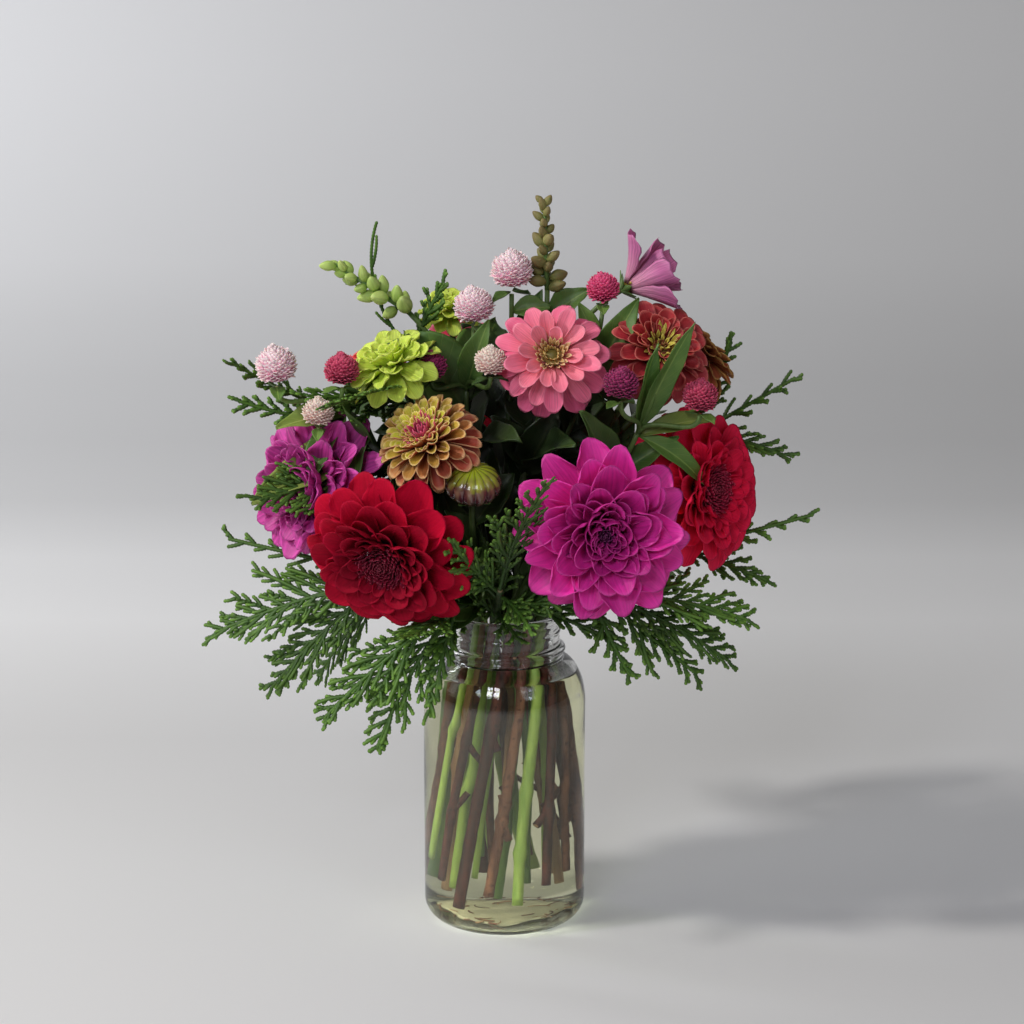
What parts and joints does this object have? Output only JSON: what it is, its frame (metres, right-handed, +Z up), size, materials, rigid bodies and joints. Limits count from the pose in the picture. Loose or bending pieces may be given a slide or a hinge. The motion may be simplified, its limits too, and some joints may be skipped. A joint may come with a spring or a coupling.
{
  "type": "flowers in a vase",
  "caption": "Mixed garden bouquet of dahlias, zinnias, globe amaranth, cosmos, snapdragon buds and cedar in a clear glass preserving jar of water.",
  "frame": {"origin": "centre of the jar's flat base, on the surface it stands on", "axes": "+Z up along the jar's axis, -Y towards the front of the bunch, +X to its right as seen from the front"},
  "size_m": [0.329, 0.2421, 0.403],
  "materials": {
    "bud_purple": "satin",
    "cedar_green": "satin",
    "coral": "matte",
    "cream": "matte",
    "crimson": "matte",
    "dark_purple": "matte",
    "glass": "clear, glossy",
    "hot_pink": "matte",
    "lime": "matte",
    "magenta": "satin",
    "mauve": "satin",
    "orange": "matte",
    "pale_pink": "matte",
    "pink": "matte",
    "purple": "satin",
    "red": "velvety matte",
    "russet": "matte",
    "rust": "matte",
    "snapdragon_green": "satin",
    "stem_green": "satin",
    "water": "clear, faint yellow-green",
    "yellow": "matte"
  },
  "bodies": {
    "root": {"cedar_front": "cedar_green", "cedar_high_left": "cedar_green", "cedar_high_right": "cedar_green", "cedar_low_front": "cedar_green", "cedar_low_left": "cedar_green", "cedar_low_right": "cedar_green", "cedar_right": "cedar_green", "cedar_top_left": "cedar_green", "cosmos": "mauve", "cosmos_stem": "stem_green", "dahlia_bud": "bud_purple", "dahlia_bud_stem": "stem_green", "dahlia_magenta_front": "magenta", "dahlia_magenta_front_stem": "stem_green", "dahlia_purple_left": "purple", "dahlia_purple_left_stem": "stem_green", "dahlia_red_back": "red", "dahlia_red_back_stem": "stem_green", "dahlia_red_front": "red", "dahlia_red_front_stem": "stem_green", "dahlia_red_right": "red", "dahlia_red_right_stem": "stem_green", "gomphrena_cream": "cream", "gomphrena_crimson": "crimson", "gomphrena_deep_pink": "crimson", "gomphrena_hot_pink": "hot_pink", "gomphrena_hot_pink_stem": "stem_green", "gomphrena_left": "pale_pink", "gomphrena_left_stem": "stem_green", "gomphrena_middle": "pale_pink", "gomphrena_middle_stem": "stem_green", "gomphrena_opening": "cream", "gomphrena_purple_middle": "dark_purple", "gomphrena_purple_right": "dark_purple", "gomphrena_right_stem": "stem_green", "gomphrena_top": "pale_pink", "gomphrena_top_stem": "stem_green", "jar": "glass", "snapdragon_left_stem": "snapdragon_green", "snapdragon_top_stem": "snapdragon_green", "water": "water", "zinnia_coral": "coral", "zinnia_coral_stem": "stem_green", "zinnia_lime": "lime", "zinnia_lime_small": "lime", "zinnia_lime_small_stem": "stem_green", "zinnia_lime_stem": "stem_green", "zinnia_orange": "orange", "zinnia_orange_eye": "crimson", "zinnia_orange_stem": "stem_green", "zinnia_pink": "pink", "zinnia_pink_back": "pink", "zinnia_pink_back_stem": "stem_green", "zinnia_pink_eye": "yellow", "zinnia_pink_stem": "stem_green", "zinnia_russet": "russet", "zinnia_russet_stem": "stem_green", "zinnia_rust": "rust", "zinnia_rust_eye": "yellow", "zinnia_rust_stem": "stem_green"}
  },
  "joints": []
}
